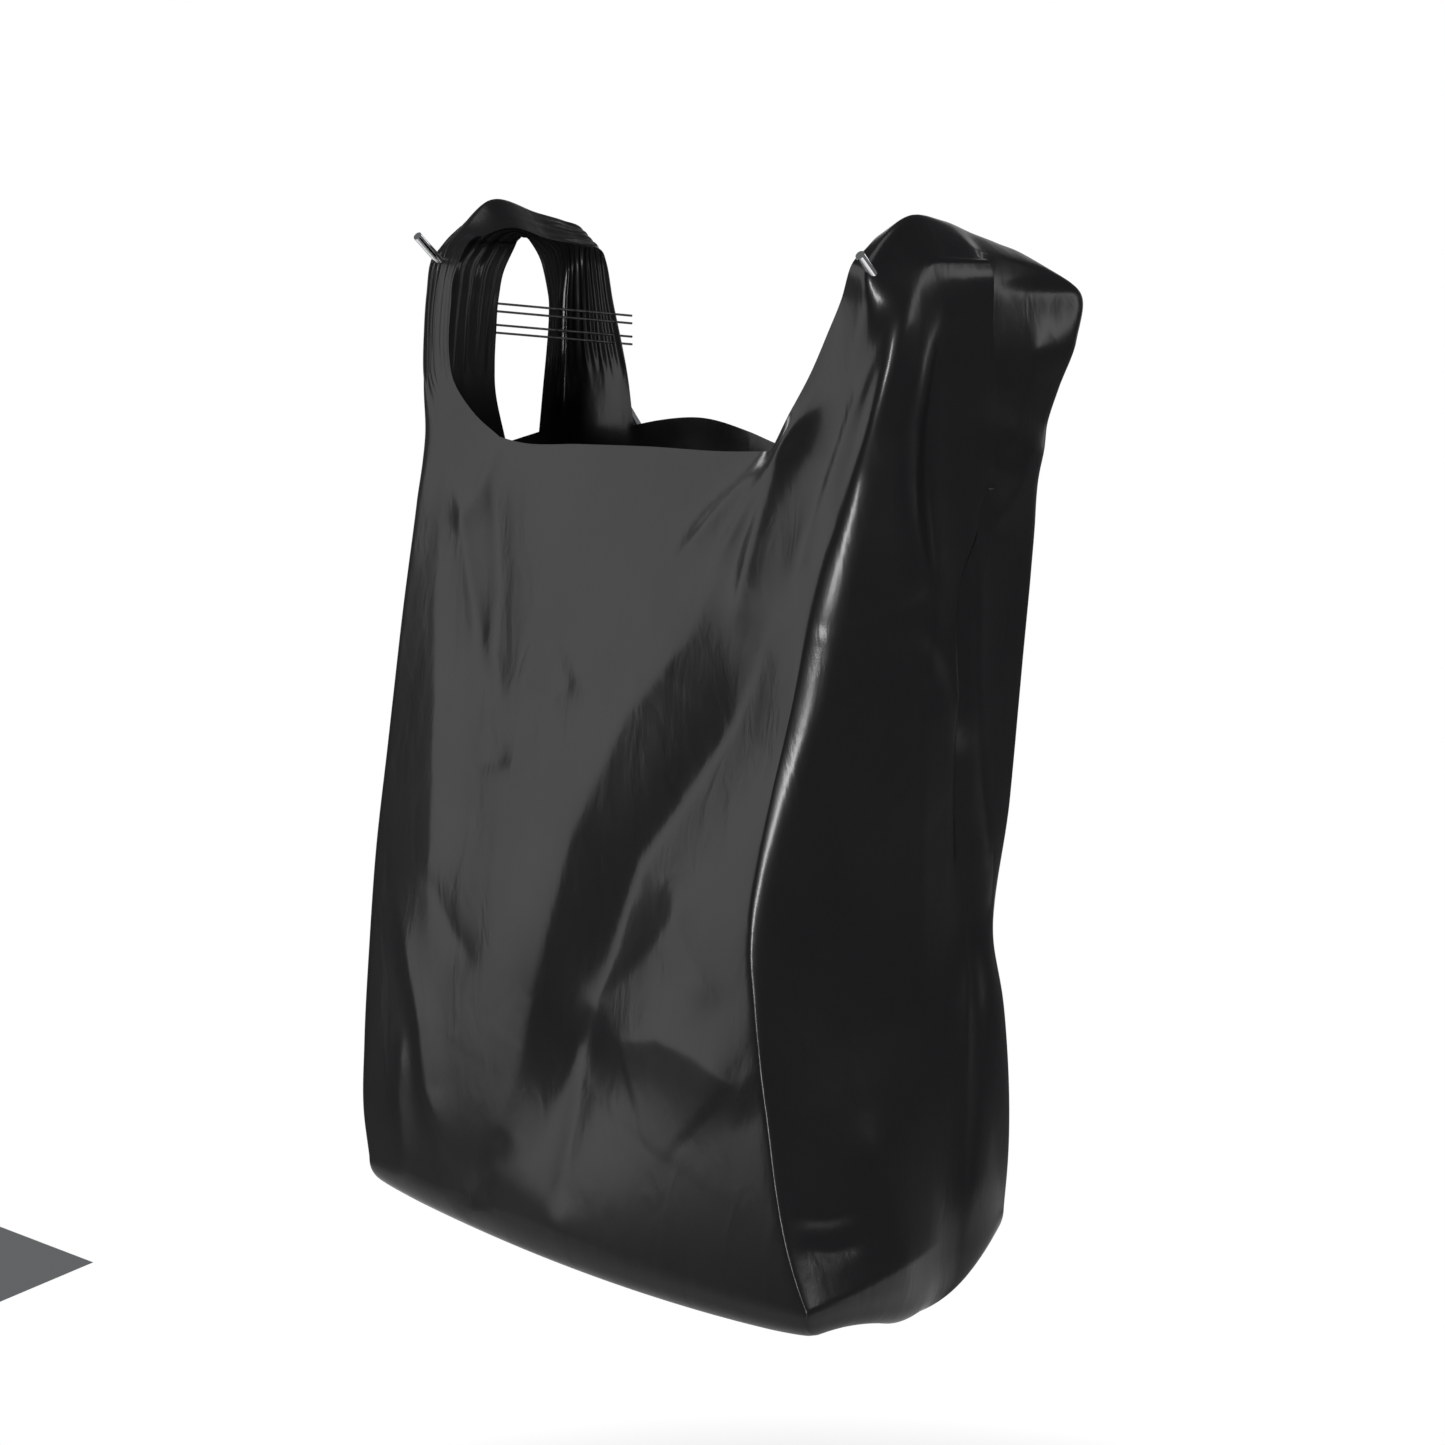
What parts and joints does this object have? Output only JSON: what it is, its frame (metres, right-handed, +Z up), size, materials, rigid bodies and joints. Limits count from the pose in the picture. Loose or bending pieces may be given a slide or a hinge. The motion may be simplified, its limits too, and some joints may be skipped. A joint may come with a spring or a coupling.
{
  "type": "plastic bag holder",
  "caption": "Wall-mounted holder with two adjustable chromed wire arms that pass through the handles of a black T-shirt carrier bag and hold it hanging open.",
  "frame": {"origin": "centre of the wall plate's rear face, which lies against the wall", "axes": "+Z up, +Y into the wall, -Y towards the user, X along the bag mouth"},
  "size_m": [0.2968, 0.205, 0.5221],
  "materials": {
    "bag_film": "satin",
    "arm_chrome": "polished",
    "plated_sheet": "satin",
    "zinc_hardware": "satin",
    "cap_plastic": "matte",
    "tie_wire": "satin"
  },
  "bodies": {
    "wall_frame": {"bag_back_panel": "bag_film", "bag_bottom_panel": "bag_film", "bag_front_panel": "bag_film", "bag_left_gusset": "bag_film", "bag_right_gusset": "bag_film", "cross_bar": "plated_sheet", "left_bar_screw": "zinc_hardware", "left_end_cap": "cap_plastic", "left_spacer": "zinc_hardware", "right_bar_screw": "zinc_hardware", "right_end_cap": "cap_plastic", "right_spacer": "zinc_hardware", "wall_plate": "plated_sheet"},
    "left_arm": {"left_arm_wire": "arm_chrome", "left_back_flap": "bag_film", "left_back_strap": "bag_film", "left_carriage": "plated_sheet", "left_clamp_bolt": "zinc_hardware", "left_front_flap": "bag_film", "left_front_strap": "bag_film", "left_handle_top": "bag_film", "left_washer": "zinc_hardware", "lower_tie": "tie_wire", "upper_tie": "tie_wire"},
    "left_nut": {"left_wing_nut": "zinc_hardware"},
    "right_arm": {"right_arm_wire": "arm_chrome", "right_back_flap": "bag_film", "right_back_strap": "bag_film", "right_carriage": "plated_sheet", "right_clamp_bolt": "zinc_hardware", "right_front_flap": "bag_film", "right_front_strap": "bag_film", "right_handle_top": "bag_film", "right_washer": "zinc_hardware"},
    "right_nut": {"right_wing_nut": "zinc_hardware"}
  },
  "joints": [
    {"name": "left_arm_slide", "type": "slide", "parent": "wall_frame", "child": "left_arm", "axis": [-1, 0, 0], "range_m": [-0.012, 0.012]},
    {"name": "right_arm_slide", "type": "slide", "parent": "wall_frame", "child": "right_arm", "axis": [1, 0, 0], "range_m": [-0.012, 0.012]},
    {"name": "left_wing_nut_turn", "type": "hinge", "parent": "left_arm", "child": "left_nut", "pos_m": [-0.066, -0.03, 0], "axis": [0, -1, 0], "range_deg": [0, 360]},
    {"name": "right_wing_nut_turn", "type": "hinge", "parent": "right_arm", "child": "right_nut", "pos_m": [0.066, -0.03, 0], "axis": [0, -1, 0], "range_deg": [0, 360]}
  ]
}
